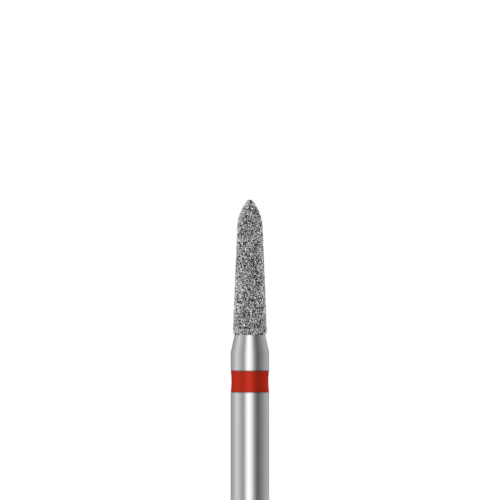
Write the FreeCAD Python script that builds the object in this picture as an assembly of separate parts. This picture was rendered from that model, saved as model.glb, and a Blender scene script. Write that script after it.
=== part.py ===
# A dental bur: a tapered, round-nosed diamond point on a friction-grip shank.
# The blank, from the shank's end to the tip of the head's core, is one turned piece of steel.
# A thin shell of diamond grit in nickel is plated over the core, and a ring of lacquer fills
# a shallow groove near the top of the shank.
# Units are millimetres. +Z runs along the axis towards the tip, and the origin is the centre
# of the shank's end face.

import FreeCAD, Part
import math
import os

# The whole bur and its shank
overall_length = 19.00
shank_diameter = 1.60
end_bevel_width = 0.16
end_bevel_length = 0.25
end_edge_radius = 0.06

# The diamond head, measured over the grit
head_length = 5.60
head_base_diameter = 1.40
shoulder_diameter = 1.04
nose_length = 1.145
tip_radius = 0.155
grit_thickness = 0.058
hem_length = 0.10
hem_radius = 0.06

# The neck's cone and the collar between it and the ring
cone_length = 0.72
cone_foot_radius = 0.20
collar_length = 0.765

# The colour ring, as wide as its lacquer shows, and its groove in the shank
ring_width = 0.88
ring_lip_depth = 0.005
ring_sag = 0.027
groove_depth = 0.16
groove_shoulder_radius = 0.14

# Heights along the axis, from the shank's end
head_base_z = overall_length - head_length
shoulder_z = overall_length - nose_length
cone_foot_z = head_base_z - cone_length
ring_top_z = cone_foot_z - collar_length
ring_bottom_z = ring_top_z - ring_width
ring_middle_z = (ring_top_z + ring_bottom_z) / 2

# Radii about the axis
shank_radius = shank_diameter / 2
head_base_radius = head_base_diameter / 2
shoulder_radius = shoulder_diameter / 2
groove_floor_radius = shank_radius - groove_depth
ring_lip_radius = shank_radius - ring_lip_depth

# The head's side leans in by this angle, and the nose leaves it at a tangent.
taper = math.atan2(head_base_radius - shoulder_radius, shoulder_z - head_base_z)


def at(radius, z):
    """The point at that distance from the axis and that height."""
    return FreeCAD.Vector(radius, 0, z)


def line(start, end):
    return Part.LineSegment(start, end).toShape()


def arc_about(centre, radius, start_angle, end_angle):
    """An arc in the outline's plane, its angles up from the horizontal, in radians."""

    def on_arc(angle):
        return centre + at(radius * math.cos(angle), radius * math.sin(angle))

    middle_angle = (start_angle + end_angle) / 2
    return Part.Arc(on_arc(start_angle), on_arc(middle_angle), on_arc(end_angle)).toShape()


def path(*corners):
    """Straight runs joined by tangent arcs. A corner is a point, or a point and its radius."""
    corners = [c if isinstance(c, tuple) else (c, 0) for c in corners]
    edges = []
    start = corners[0][0]
    for (before, _), (corner, radius), (after, _) in zip(corners, corners[1:], corners[2:]):
        into = (before - corner).normalize()
        out = (after - corner).normalize()
        half = into.getAngle(out) / 2
        reach = radius / math.tan(half)
        bend_start = corner + into * reach
        edges.append(line(start, bend_start))
        start = corner + out * reach
        if radius:
            bend_middle = corner + (into + out).normalize() * (radius / math.sin(half) - radius)
            edges.append(Part.Arc(bend_start, bend_middle, start).toShape())
    return edges + [line(start, corners[-1][0])]


def turned(edges):
    """The solid that a closed outline sweeps in one turn about the axis."""
    face = Part.Face(Part.Wire(edges))
    return face.revolve(FreeCAD.Vector(0, 0, 0), FreeCAD.Vector(0, 0, 1), 360)


def head_outline(inset):
    """The head's base and shoulder points and the arcs of its nose, that far under the grit."""
    tip_centre = at(0, overall_length - tip_radius)
    shoulder = at(shoulder_radius, shoulder_z)
    normal = at(math.cos(taper), math.sin(taper))
    # The nose's arc leaves the taper at the shoulder and meets the tip's arc, both at a tangent.
    reach = shoulder - tip_centre
    nose_radius = (reach.dot(reach) - tip_radius ** 2) / (2 * (reach.dot(normal) - tip_radius))
    nose_centre = shoulder - normal * nose_radius
    towards_tip = tip_centre - nose_centre
    meeting = math.atan2(towards_tip.z, towards_tip.x)
    nose = arc_about(nose_centre, nose_radius - inset, taper, meeting)
    tip = arc_about(tip_centre, tip_radius - inset, meeting, math.pi / 2)
    base = at(head_base_radius - inset / math.cos(taper), head_base_z)
    return base, shoulder - normal * inset, [nose, tip]


def shoulder_reach(depth):
    """How far a groove's wall lies inside the place where its rounded shoulder is that deep."""
    across = math.sqrt(groove_shoulder_radius ** 2 - (groove_shoulder_radius - depth) ** 2)
    return groove_shoulder_radius - across


def steel_blank():
    """Shank, groove, collar, cone and head core in one turned piece."""
    core_base, core_shoulder, core_nose = head_outline(grit_thickness)
    lower_wall_z = ring_bottom_z + shoulder_reach(ring_lip_depth)
    upper_wall_z = ring_top_z - shoulder_reach(ring_lip_depth)
    side = path(
        at(0, 0),
        (at(shank_radius - end_bevel_width, 0), end_edge_radius),
        (at(shank_radius, end_bevel_length), end_edge_radius),
        (at(shank_radius, lower_wall_z), groove_shoulder_radius),
        at(groove_floor_radius, lower_wall_z),
        at(groove_floor_radius, upper_wall_z),
        (at(shank_radius, upper_wall_z), groove_shoulder_radius),
        (at(shank_radius, cone_foot_z), cone_foot_radius),
        core_base,
        core_shoulder,
    )
    core_tip = at(0, overall_length - grit_thickness)
    return turned(side + core_nose + [line(core_tip, at(0, 0))])


def diamond_coating(blank):
    """The shell of grit in nickel over the head's core. It thins out at its hem, above the cone."""
    core_base, _, _ = head_outline(grit_thickness)
    base, shoulder, nose = head_outline(0)
    hem_top = base + (shoulder - base) * (hem_length / (shoulder_z - head_base_z))
    foot = at(0, head_base_z)
    side = path(foot, core_base, (hem_top, hem_radius), shoulder)
    envelope = turned(side + nose + [line(at(0, overall_length), foot)])
    return envelope.cut(blank)


def colour_ring(blank):
    """Lacquer that fills the groove, level at its lips and sagging between them."""
    lower_lip = at(ring_lip_radius, ring_bottom_z)
    upper_lip = at(ring_lip_radius, ring_top_z)
    middle = at(ring_lip_radius - ring_sag, ring_middle_z)
    inside = path(
        lower_lip,
        at(groove_floor_radius, ring_bottom_z),
        at(groove_floor_radius, ring_top_z),
        upper_lip,
    )
    outside = Part.Arc(upper_lip, middle, lower_lip).toShape()
    return turned(inside + [outside]).cut(blank)


def main():
    os.makedirs("parts", exist_ok=True)
    blank = steel_blank()
    pieces = {
        "steel_blank": blank,
        "diamond_coating": diamond_coating(blank),
        "colour_ring": colour_ring(blank),
    }
    for name, shape in pieces.items():
        shape.exportStep(f"parts/{name}.step")
        print(f"{name}: {shape.Volume:.4f} mm3, {len(shape.Solids)} solid, valid {shape.isValid()}")


main()
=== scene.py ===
# A dental bur in a small white studio: a fine diamond point with a red ring on a ground shank.
# Lengths are in millimetres until a mesh, a lamp or the camera takes them, which is in metres.
# Outlines lie in one plane through the axis, and their points are (radius, height).

import bpy
import bmesh
import itertools
import math
import random
from mathutils import Euler, Matrix, Vector, noise


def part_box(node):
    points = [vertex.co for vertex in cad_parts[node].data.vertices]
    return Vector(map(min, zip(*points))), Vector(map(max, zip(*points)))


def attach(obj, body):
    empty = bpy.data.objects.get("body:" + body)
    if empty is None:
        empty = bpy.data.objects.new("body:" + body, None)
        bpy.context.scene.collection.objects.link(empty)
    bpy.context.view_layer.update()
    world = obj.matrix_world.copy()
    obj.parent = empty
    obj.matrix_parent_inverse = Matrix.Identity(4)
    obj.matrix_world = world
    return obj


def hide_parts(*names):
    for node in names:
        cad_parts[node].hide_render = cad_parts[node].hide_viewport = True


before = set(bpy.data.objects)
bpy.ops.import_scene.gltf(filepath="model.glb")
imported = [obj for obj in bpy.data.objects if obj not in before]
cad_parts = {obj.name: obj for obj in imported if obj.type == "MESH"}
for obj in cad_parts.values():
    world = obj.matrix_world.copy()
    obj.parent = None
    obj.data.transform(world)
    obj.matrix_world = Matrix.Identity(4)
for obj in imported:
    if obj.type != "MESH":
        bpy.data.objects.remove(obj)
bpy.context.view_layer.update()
mm = 0.001

# Sizes that the frame gives
shank_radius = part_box("steel_blank")[1].x / mm
head_base_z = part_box("diamond_coating")[0].z / mm
tip_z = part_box("diamond_coating")[1].z / mm
ring_bottom_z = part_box("colour_ring")[0].z / mm
ring_top_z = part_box("colour_ring")[1].z / mm
ring_middle_z = (ring_bottom_z + ring_top_z) / 2

# The shank's end, the neck's cone, and the colour ring in its groove
end_bevel_width = 0.16
end_bevel_length = 0.25
end_edge_radius = 0.06
cone_length = 0.72
cone_foot_radius = 0.20
ring_lip_depth = 0.005
ring_sag = 0.027
groove_depth = 0.16
groove_shoulder_radius = 0.14
# How far the painted shade along the ring's lips reaches
painted_lip_shade_width = 0.07
cone_foot_z = head_base_z - cone_length
ring_lip_radius = shank_radius - ring_lip_depth
groove_floor_radius = shank_radius - groove_depth

# The head, measured over the grit, and the grit's thickness on the core
head_base_radius = 0.70
shoulder_radius = 0.52
nose_length = 1.145
tip_radius = 0.155
grit_thickness = 0.058
hem_length = 0.10
hem_radius = 0.06
shoulder_z = tip_z - nose_length
taper = math.atan2(head_base_radius - shoulder_radius, shoulder_z - head_base_z)

# How finely the turned pieces are made
turned_segments = 256
bend_steps = 10
nose_steps = 24
support = 0.006
sharp_angle = 35
coat_row = 0.030

# The nickel that holds the grit, and the lumps on it
bond_depth = 0.016
bond_segments = 180
lump_size = 0.045
lump_height = 0.010
lump_increment = 0.8
lump_lacunarity = 2.2
lump_octaves = 3

# The grains. A pair is the range of a random draw, first of the size and then of shares of it.
grain_seed = 11
grain_shapes = 24
grain_tries = 270000
grain_spacing = 0.030
grain_size = 0.034, 0.058
corner_reach = 0.20, 0.38
peak_reach = 0.45, 0.58
grain_stretch = 0.78, 1.12
middle_over_bond = 0.08, 0.22
bake_scale = 0.62


def arc(centre, start, end, steps):
    """Points from start to end about a centre, with both ends."""
    radius = (start - centre).length
    ways = [(start - centre).slerp(end - centre, step / steps) for step in range(steps + 1)]
    return [centre + way.normalized() * radius for way in ways]


def rounded(*corners):
    """Straight runs joined by tangent arcs. A corner is a point, or a point and its radius."""
    corners = [c if isinstance(c, tuple) else (c, 0) for c in corners]
    points = [corners[0][0]]
    for (before, _), (corner, radius), (after, _) in zip(corners, corners[1:], corners[2:]):
        if not radius:
            points.append(corner)
            continue
        into = (before - corner).normalized()
        out = (after - corner).normalized()
        half = into.angle(out) / 2
        reach = radius / math.tan(half)
        centre = corner + (into + out).normalized() * radius / math.sin(half)
        points.append(corner + into * (reach + support))
        points += arc(centre, corner + into * reach, corner + out * reach, bend_steps)
        points.append(corner + out * (reach + support))
    return points + [corners[-1][0]]


def head_outline(inset):
    """The head's base point and the points from its shoulder to the tip, that far under the grit."""
    tip_centre = Vector((0, tip_z - tip_radius))
    shoulder = Vector((shoulder_radius, shoulder_z))
    normal = Vector((math.cos(taper), math.sin(taper)))
    # The nose's arc leaves the taper at the shoulder and meets the tip's arc, both at a tangent.
    reach = shoulder - tip_centre
    nose_radius = (reach.dot(reach) - tip_radius ** 2) / (2 * (reach.dot(normal) - tip_radius))
    nose_centre = shoulder - normal * nose_radius
    outward = (tip_centre - nose_centre).normalized()
    meeting = tip_centre + outward * (tip_radius - inset)
    nose = arc(nose_centre, shoulder - normal * inset, meeting, nose_steps)
    tip = arc(tip_centre, meeting, Vector((0, tip_z - inset)), bend_steps)
    base = Vector((head_base_radius - inset / math.cos(taper), head_base_z))
    return base, nose + tip[1:]


def groove_walls():
    """The heights of the groove's two walls, whose rounded shoulders pass through the ring's lips."""
    across = math.sqrt(groove_shoulder_radius ** 2 - (groove_shoulder_radius - ring_lip_depth) ** 2)
    inset = groove_shoulder_radius - across
    return ring_bottom_z + inset, ring_top_z - inset


def finely(outline, longest):
    """The same outline with its longer runs divided evenly."""
    points = [outline[0]]
    for start, end in zip(outline, outline[1:]):
        parts = math.ceil((end - start).length / longest)
        points += [start.lerp(end, part / parts) for part in range(1, parts + 1)]
    return points


def turned(outline, segments):
    """A closed mesh that an outline sweeps about the axis, with one list of vertices a point."""
    swept = bmesh.new()
    rings = []
    for radius, height in outline:
        turns = segments if radius > 1e-6 else 1
        angles = [math.tau * turn / turns for turn in range(turns)]
        places = [(radius * math.cos(a) * mm, radius * math.sin(a) * mm, height * mm) for a in angles]
        rings.append([swept.verts.new(place) for place in places])
    for lower, upper in zip(rings, rings[1:] + rings[:1]):
        if len(lower) == len(upper) == 1:
            continue
        for turn in range(segments):
            after = turn + 1
            around = (lower, turn), (lower, after), (upper, after), (upper, turn)
            corners = dict.fromkeys(ring[place % len(ring)] for ring, place in around)
            swept.faces.new(corners)
    bmesh.ops.recalc_face_normals(swept, faces=swept.faces)
    return swept, rings


def piece(name, mesh, material, replaced):
    """A finished piece that rides on the bur and stands for one of its solids."""
    made = bpy.data.objects.new(name, mesh)
    bpy.context.scene.collection.objects.link(made)
    mesh.materials.append(material)
    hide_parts(replaced)
    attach(made, "root")


def smooth_mesh(name, swept):
    """A mesh that is smooth all over."""
    mesh = bpy.data.meshes.new(name)
    swept.to_mesh(mesh)
    swept.free()
    mesh.polygons.foreach_set("use_smooth", [True] * len(mesh.polygons))
    return mesh


def turned_mesh(name, outline):
    """A turned mesh whose bends are smooth and whose real edges stay sharp."""
    swept, _ = turned(outline, turned_segments)
    mesh = smooth_mesh(name, swept)
    mesh.set_sharp_from_angle(angle=math.radians(sharp_angle))
    return mesh


def steel_mesh():
    """Shank, groove, collar, cone and head core in one turned piece."""
    core_base, core_nose = head_outline(grit_thickness)
    lower_wall_z, upper_wall_z = groove_walls()
    side = rounded(
        Vector((0, 0)),
        (Vector((shank_radius - end_bevel_width, 0)), end_edge_radius),
        (Vector((shank_radius, end_bevel_length)), end_edge_radius),
        (Vector((shank_radius, lower_wall_z)), groove_shoulder_radius),
        Vector((groove_floor_radius, lower_wall_z)),
        Vector((groove_floor_radius, upper_wall_z)),
        (Vector((shank_radius, upper_wall_z)), groove_shoulder_radius),
        (Vector((shank_radius, cone_foot_z)), cone_foot_radius),
        core_base,
    )
    return turned_mesh("bur_steel", side + core_nose)


def ring_mesh():
    """Lacquer that fills the groove, level at its lips and sagging between them."""
    lower_lip = Vector((ring_lip_radius, ring_bottom_z))
    upper_lip = Vector((ring_lip_radius, ring_top_z))
    half_width = (ring_top_z - ring_bottom_z) / 2
    face_radius = (half_width ** 2 + ring_sag ** 2) / (2 * ring_sag)
    centre = Vector((ring_lip_radius - ring_sag + face_radius, ring_middle_z))
    face = arc(centre, lower_lip, upper_lip, nose_steps)
    lower_wall_z, upper_wall_z = groove_walls()
    lower_shoulder = Vector((shank_radius - groove_shoulder_radius, lower_wall_z - groove_shoulder_radius))
    upper_shoulder = Vector((shank_radius - groove_shoulder_radius, upper_wall_z + groove_shoulder_radius))
    down = Vector((0, groove_shoulder_radius))
    inside = arc(upper_shoulder, upper_lip, upper_shoulder - down, bend_steps)[1:]
    inside += [Vector((groove_floor_radius, upper_wall_z)), Vector((groove_floor_radius, lower_wall_z))]
    inside += arc(lower_shoulder, lower_shoulder + down, lower_lip, bend_steps)[:-1]
    return turned_mesh("red_ring", face + inside)


def coat_outline(inset):
    """The surface that far under the grit's tops, from the hem to the tip, in fine even steps."""
    core_base, _ = head_outline(grit_thickness)
    base, nose = head_outline(inset)
    hem_top = base.lerp(nose[0], hem_length / (shoulder_z - head_base_z))
    return finely(rounded(core_base, (hem_top, hem_radius), nose[0]) + nose[1:], coat_row)


def bond_mesh():
    """The nickel shell between the grains, lumpy outside and true to the core inside."""
    _, core_nose = head_outline(grit_thickness)
    outside = coat_outline(bond_depth)
    swept, rings = turned(outside + core_nose[::-1], bond_segments)
    swept.normal_update()
    for ring in rings[1:len(outside)]:
        for vertex in ring:
            place = vertex.co / (lump_size * mm)
            lump = noise.fractal(place, lump_increment, lump_lacunarity, lump_octaves)
            vertex.co += vertex.normal * lump * lump_height * mm
    return smooth_mesh("nickel_bond", swept)


def scattered(draw):
    """Places on the head, evenly crowded and in no order: (place, outward normal) of each."""
    outline = coat_outline(0)
    runs = list(zip(outline, outline[1:]))
    areas = [(start.x + end.x) * (end - start).length for start, end in runs]
    taken = {}
    places = []
    for start, end in draw.choices(runs, areas, k=grain_tries):
        radius, height = start.lerp(end, draw.random())
        angle = draw.uniform(0, math.tau)
        place = Vector((radius * math.cos(angle), radius * math.sin(angle), height))
        cell = tuple(int(c // grain_spacing) for c in place)
        if crowded(place, cell, taken):
            continue
        taken.setdefault(cell, []).append(place)
        run = (end - start).normalized()
        places.append((place, Vector((run.y * math.cos(angle), run.y * math.sin(angle), -run.x))))
    return places


def crowded(place, cell, taken):
    """Whether a place lies nearer than the grains' spacing to one that is taken."""
    steps = (-1, 0, 1)
    for x in steps:
        for y in steps:
            for z in steps:
                near = taken.get((cell[0] + x, cell[1] + y, cell[2] + z), ())
                if any((place - other).length < grain_spacing for other in near):
                    return True
    return False


def crystal(draw):
    """A sharp blocky grain of unit size: a box with every corner moved, and a peak on one side."""
    cut = bmesh.new()
    for corner in itertools.product((-1, 1), repeat=3):
        cut.verts.new([side * draw.uniform(*corner_reach) for side in corner])
    peak = Vector([draw.gauss(0, 1) for _ in range(3)]).normalized()
    cut.verts.new(peak * draw.uniform(*peak_reach))
    hull = bmesh.ops.convex_hull(cut, input=cut.verts)
    inside = [part for part in hull["geom_interior"] if isinstance(part, bmesh.types.BMVert)]
    bmesh.ops.delete(cut, geom=inside, context="VERTS")
    cut.verts.ensure_lookup_table()
    cut.verts.index_update()
    shape = [v.co.copy() for v in cut.verts], [[v.index for v in face.verts] for face in cut.faces]
    cut.free()
    return shape


def bake_spots(corners, faces, normal, cell):
    """Where a grain's faces lie in its cell of the bake map: outer ones on the left, inner on the right."""
    across = normal.orthogonal().normalized()
    up = normal.cross(across)
    spots = []
    for face in faces:
        first, second, third = (corners[corner] for corner in face[:3])
        middle = 0.25 if (second - first).cross(third - first).dot(normal) > 0 else 0.75
        for corner in face:
            flat = Vector((corners[corner].dot(across), corners[corner].dot(up))) * bake_scale
            spots.append(cell + Vector((middle + flat.x / 2, 0.5 + flat.y)))
    return spots


def grain_mesh():
    """Every grain as a closed crystal of its own, turned at random, with its foot in the bond."""
    draw = random.Random(grain_seed)
    shapes = [crystal(draw) for _ in range(grain_shapes)]
    places = scattered(draw)
    cells_across = math.ceil(math.sqrt(len(places)))
    corners, faces, spots = [], [], []
    for number, (place, normal) in enumerate(places):
        size = draw.uniform(*grain_size)
        stretch = Matrix.Diagonal([draw.uniform(*grain_stretch) for _ in range(3)])
        turn = Euler([draw.uniform(0, math.tau) for _ in range(3)]).to_matrix()
        centre = place - normal * (bond_depth - size * draw.uniform(*middle_over_bond))
        shape_corners, shape_faces = draw.choice(shapes)
        turned_corners = [turn @ stretch @ corner for corner in shape_corners]
        first = len(corners)
        corners += [(centre + corner * size) * mm for corner in turned_corners]
        faces += [[first + corner for corner in face] for face in shape_faces]
        cell = Vector((number % cells_across, number // cells_across))
        spots += bake_spots(turned_corners, shape_faces, normal, cell)
    mesh = bpy.data.meshes.new("diamond_grains")
    mesh.from_pydata(corners, [], faces)
    bake_map = mesh.uv_layers.new(name="OFBake")
    bake_map.data.foreach_set("uv", [value / cells_across for spot in spots for value in spot])
    return mesh


def add(tree, kind, inputs=None, **settings):
    """A node with its settings. An input that is given another node's output is linked to it."""
    made = tree.nodes.new(kind)
    for name, value in settings.items():
        setattr(made, name, value)
    for name, value in (inputs or {}).items():
        if isinstance(value, bpy.types.NodeSocket):
            tree.links.new(value, made.inputs[name])
        else:
            made.inputs[name].default_value = value
    return made


def maths(tree, operation, *values):
    """What an operation makes of its values, each a number or another node's output."""
    return add(tree, "ShaderNodeMath", dict(enumerate(values)), operation=operation).outputs[0]


def ramp(tree, factor, *stops):
    """A blend of greys or colours along a factor. A stop is (place, colour)."""
    made = add(tree, "ShaderNodeValToRGB", {"Fac": factor})
    elements = made.color_ramp.elements
    while len(elements) < len(stops):
        elements.new(1)
    for element, (place, colour) in zip(elements, stops):
        element.position = place
        element.color = (*colour, 1) if isinstance(colour, tuple) else (colour, colour, colour, 1)
    return made.outputs["Color"]


def pattern(tree, across, along, detail=4):
    """Noise from the object's own place, with so many features a millimetre across and along it."""
    place = add(tree, "ShaderNodeTexCoord").outputs["Object"]
    scale = (across / mm, across / mm, along / mm)
    mapped = add(tree, "ShaderNodeMapping", {"Vector": place, "Scale": scale})
    inputs = {"Vector": mapped.outputs["Vector"], "Scale": 1.0, "Detail": detail}
    return add(tree, "ShaderNodeTexNoise", inputs).outputs["Fac"]


def bumped(tree, height, depth):
    """A normal for a relief of that depth in millimetres."""
    inputs = {"Height": height, "Distance": depth * mm, "Strength": 1.0}
    return add(tree, "ShaderNodeBump", inputs).outputs["Normal"]


def painted_shade_at_lips(tree, colour, least):
    """The colour, darkened to that share of itself along the ring's two lips: painted shade where the steel
    and the lacquer meet.
    """
    place = add(tree, "ShaderNodeTexCoord").outputs["Object"]
    height = add(tree, "ShaderNodeSeparateXYZ", {"Vector": place}).outputs["Z"]
    half_width = (ring_top_z - ring_bottom_z) / 2 * mm
    from_middle = maths(tree, "ABSOLUTE", maths(tree, "SUBTRACT", height, ring_middle_z * mm))
    from_lip = maths(tree, "ABSOLUTE", maths(tree, "SUBTRACT", from_middle, half_width))
    inputs = {"Value": from_lip, "From Max": painted_lip_shade_width * mm, "To Min": least, "To Max": 1.0}
    share = add(tree, "ShaderNodeMapRange", inputs).outputs["Result"]
    shaded = add(tree, "ShaderNodeVectorMath", {0: colour, "Scale": share}, operation="SCALE")
    return shaded.outputs["Vector"]


def surface(name):
    """A new material, its nodes and its shader."""
    made = bpy.data.materials.new(name)
    made.use_nodes = True
    shader = made.node_tree.nodes["Principled BSDF"]
    return made, made.node_tree, shader


def plug(tree, shader, **sockets):
    """Sets the shader's inputs. Underscores in a name stand for its spaces."""
    for name, value in sockets.items():
        socket = shader.inputs[name.replace("_", " ")]
        if isinstance(value, bpy.types.NodeSocket):
            tree.links.new(value, socket)
        else:
            socket.default_value = value


def ground_steel():
    """Ground stainless steel with fine marks round the axis and a faint cloudiness, and painted shade along
    the ring's lips.
    """
    made, tree, shader = surface("ground_steel")
    clouds = pattern(tree, 1.2, 0.5)
    marks = pattern(tree, 0.8, 45)
    colour = ramp(tree, clouds, (0.3, (0.61, 0.61, 0.615)), (0.7, (0.65, 0.65, 0.655)))
    plug(
        tree,
        shader,
        # Painted shade: the steel's colour is darkened along the ring's lips
        Base_Color=painted_shade_at_lips(tree, colour, least=0.45),
        Metallic=1.0,
        Roughness=ramp(tree, marks, (0.3, 0.14), (0.7, 0.20)),
        Normal=bumped(tree, marks, 0.0002),
    )
    return made


def red_lacquer():
    """Translucent red lacquer: what comes back from the steel beneath is as red as the rest. Painted shade
    darkens it along its lips.
    """
    made, tree, shader = surface("red_lacquer")
    clouds = pattern(tree, 2.5, 2.5)
    ripples = pattern(tree, 9, 9, detail=1)
    colour = ramp(tree, clouds, (0.3, (0.56, 0.030, 0.011)), (0.7, (0.62, 0.034, 0.013)))
    plug(
        tree,
        shader,
        # Painted shade: the lacquer's colour is darkened along its two lips
        Base_Color=painted_shade_at_lips(tree, colour, least=0.65),
        Metallic=0.72,
        Roughness=ramp(tree, clouds, (0.3, 0.46), (0.7, 0.54)),
        Normal=bumped(tree, ripples, 0.0008),
        Specular_IOR_Level=0.0,
        Specular_Tint=(0.9, 0.15, 0.08, 1),
        Coat_Weight=0.12,
        Coat_Roughness=0.1,
    )
    return made


def nickel():
    """Dull plated nickel, coloured far darker than bare nickel: painted shade in the pits between the
    grains.
    """
    made, tree, shader = surface("nickel_bond")
    grains = pattern(tree, 40, 40)
    plug(
        tree,
        shader,
        # The dark grey stands in for the shade between the grains: painted shade
        Base_Color=ramp(tree, grains, (0.3, 0.05), (0.7, 0.14)),
        Metallic=0.8,
        Roughness=ramp(tree, grains, (0.3, 0.38), (0.7, 0.55)),
        Normal=bumped(tree, grains, 0.002),
    )
    return made


def diamond():
    """Crushed diamond: every grain has its own grey, and its faces glint."""
    made, tree, shader = surface("diamond_grit")
    own = add(tree, "ShaderNodeNewGeometry").outputs["Random Per Island"]
    flaws = pattern(tree, 60, 60)
    plug(
        tree,
        shader,
        Base_Color=ramp(tree, own, (0.0, 0.02), (0.32, 0.10), (0.37, 1.00), (1.0, 1.00)),
        Metallic=0.65,
        Roughness=ramp(tree, flaws, (0.3, 0.10), (0.7, 0.30)),
        Normal=bumped(tree, flaws, 0.001),
    )
    return made


# The camera, and how the photograph shows the bur, in its pixels
camera_lens = 400
camera_sensor = 36
photo_width_pixels = 500
shank_width_pixels = 38.6
tip_above_middle_pixels = 50.3
axis_off_middle_pixels = -0.1
pixel = 2 * shank_radius / shank_width_pixels

# The studio. Azimuths are in degrees from the camera's side of the bur, and grow to its right.
ambient = 0.35
floor_radius = 140
floor_segments = 96
floor_grey = 0.8
glow_near = 0.31
glow_far = 0.74
tent_radius = 14
tent_above = 32
tent_floor_gap = 0.3
tent_below = ring_middle_z - tent_floor_gap
tent_step = 3
tent_slants = range(-86, 77, tent_step)
lamp_elevation = 20
lamp_distance = 120
lamp_size = 40
lamp_aim_z = 14


def staged(name, mesh, material):
    made = bpy.data.objects.new(name, mesh)
    bpy.context.scene.collection.objects.link(made)
    mesh.materials.append(material)
    return made


def seen_directly(tree):
    """1 for what the camera sees, by itself or in metal or glass, and 0 for what only lights a surface."""
    path = add(tree, "ShaderNodeLightPath").outputs
    either = maths(tree, "MAXIMUM", path["Is Camera Ray"], path["Is Glossy Ray"])
    return maths(tree, "MAXIMUM", either, path["Is Transmission Ray"])


def white_world():
    """A white background that lights the bur at a plain level."""
    world = bpy.data.worlds.new("studio")
    world.use_nodes = True
    world.cycles.sampling_method = "NONE"
    bpy.context.scene.world = world
    tree = world.node_tree
    strength = maths(tree, "MULTIPLY_ADD", seen_directly(tree), 1 - ambient, ambient)
    plug(tree, tree.nodes["Background"], Color=(1, 1, 1, 1), Strength=strength)


def white_floor():
    """A pale round floor that shows just white all over and keeps the bur's shadow."""
    made, tree, shader = surface("floor")
    # Less of the lamps' light falls on its far parts, so its own glow grows towards the rim.
    place = add(tree, "ShaderNodeTexCoord").outputs["Object"]
    far = add(tree, "ShaderNodeVectorMath", {0: place}, operation="LENGTH").outputs["Value"]
    inputs = {"Value": far, "From Max": floor_radius * mm, "To Min": glow_near, "To Max": glow_far}
    level = add(tree, "ShaderNodeMapRange", inputs).outputs["Result"]
    plug(
        tree,
        shader,
        Base_Color=(floor_grey, floor_grey, floor_grey, 1),
        Roughness=1.0,
        Specular_IOR_Level=0.0,
        Emission_Color=(1, 1, 1, 1),
        Emission_Strength=maths(tree, "MULTIPLY", seen_directly(tree), level),
    )
    disc = bmesh.new()
    bmesh.ops.create_circle(disc, cap_ends=True, segments=floor_segments, radius=floor_radius * mm)
    mesh = bpy.data.meshes.new("floor")
    disc.to_mesh(mesh)
    disc.free()
    staged("floor", mesh, made)


def tent_point(azimuth, slant):
    """A place on the tent round the bur, which is a bowl below the ring and a taller dome above it."""
    across = tent_radius * math.cos(math.radians(slant))
    up = (tent_above if slant > 0 else tent_below) * math.sin(math.radians(slant))
    angle = math.radians(azimuth)
    return Vector((across * math.sin(angle), -across * math.cos(angle), ring_middle_z + up)) * mm


def glowing(name, tint):
    """A material that glows as brightly as its mesh says at each place."""
    made = bpy.data.materials.new(name)
    made.use_nodes = True
    tree = made.node_tree
    tree.nodes.remove(tree.nodes["Principled BSDF"])
    bright = add(tree, "ShaderNodeAttribute", attribute_name="brightness").outputs["Fac"]
    glow = add(tree, "ShaderNodeEmission", {"Color": (*tint, 1), "Strength": bright})
    tree.links.new(glow.outputs[0], tree.nodes["Material Output"].inputs["Surface"])
    return made


def board(name, *stops, tint=(1, 1, 1)):
    """A stretch of the tent that only shows in reflections. A stop is (azimuth, brightness)."""
    columns = []
    for (azimuth, level), (next_azimuth, next_level) in zip(stops, stops[1:]):
        turn = next_azimuth - azimuth
        rise = next_level - level
        steps = math.ceil(turn / tent_step)
        shares = [step / steps for step in range(steps + 1)]
        columns += [(azimuth + turn * share, level + rise * share) for share in shares]
    corners = [tent_point(azimuth, slant) for azimuth, _ in columns for slant in tent_slants]
    levels = [level for _, level in columns for _ in tent_slants]
    rows = len(tent_slants)
    starts = [row + rows * column for column in range(len(columns) - 1) for row in range(rows - 1)]
    mesh = bpy.data.meshes.new(name)
    mesh.from_pydata(corners, [], [(i, i + rows, i + rows + 1, i + 1) for i in starts])
    mesh.attributes.new("brightness", "FLOAT", "POINT").data.foreach_set("value", levels)
    made = staged(name, mesh, glowing(name, tint))
    made.visible_camera = False
    made.visible_diffuse = False
    made.visible_shadow = False


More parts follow.
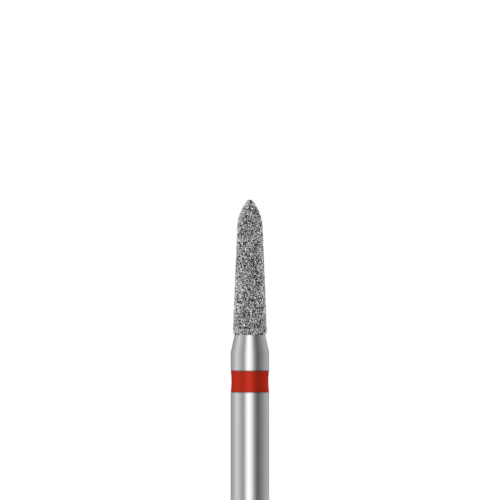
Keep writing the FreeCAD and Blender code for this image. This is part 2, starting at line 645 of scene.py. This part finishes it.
def lamp(name, azimuth, level):
    """A square soft lamp aimed at the bur's head. Its level is what it adds to white that faces it."""
    data = bpy.data.lights.new(name, "AREA")
    data.size = lamp_size * mm
    data.energy = level * math.pi ** 2 * (lamp_distance * mm) ** 2
    made = bpy.data.objects.new(name, data)
    bpy.context.scene.collection.objects.link(made)
    a, e = math.radians(azimuth), math.radians(lamp_elevation)
    outward = Vector((math.sin(a) * math.cos(e), -math.cos(a) * math.cos(e), math.sin(e)))
    made.location = Vector((0, 0, lamp_aim_z * mm)) + outward * lamp_distance * mm
    made.rotation_mode = "QUATERNION"
    made.rotation_quaternion = outward.to_track_quat("Z", "Y")
    made.visible_glossy = False


def camera():
    """A long lens, level with the middle of the photograph."""
    data = bpy.data.cameras.new("camera")
    data.lens = camera_lens
    data.sensor_width = camera_sensor
    data.clip_start = 0.01
    made = bpy.data.objects.new("camera", data)
    bpy.context.scene.collection.objects.link(made)
    distance = photo_width_pixels * pixel * camera_lens / camera_sensor
    height = tip_z - tip_above_middle_pixels * pixel
    made.location = Vector((-axis_off_middle_pixels * pixel, -distance, height)) * mm
    made.rotation_euler = (math.radians(90), 0, 0)
    bpy.context.scene.camera = made


def studio():
    white_world()
    white_floor()
    board("light_panel", (-30, 0.66), (-20, 1.32), (-8, 1.64), (0, 1.54), (10, 1.23), (22, 0.60), (34, 0.28))
    board("dark_flag", (34, 0.28), (46, 0.165), (56, 0.20), tint=(0.86, 1.0, 1.10))
    board("right_board", (56, 0.20), (82, 0.38), (108, 0.56), (131, 0.61), (150, 0.44), (160, 0.44))
    board("left_flag", (-66, 0.76), (-45, 0.49), (-38, 0.48), (-30, 0.66))
    board("left_panel", (-118, 0.56), (-98, 0.77), (-84, 0.95), (-76, 0.93), (-66, 0.76))
    rear_stops = (160, 0.44), (174, 1.30), (186, 1.30), (200, 0.40), (215, 0.38), (230, 0.50), (242, 0.56)
    board("rear_panel", *rear_stops)
    lamp("left_lamp", azimuth=-110, level=0.65)
    lamp("right_lamp", azimuth=110, level=0.80)


piece("bur_steel", steel_mesh(), ground_steel(), "steel_blank")
piece("red_ring", ring_mesh(), red_lacquer(), "colour_ring")
piece("nickel_bond", bond_mesh(), nickel(), "diamond_coating")
piece("diamond_grains", grain_mesh(), diamond(), "diamond_coating")
studio()
camera()
bpy.context.scene.view_settings.view_transform = "Standard"
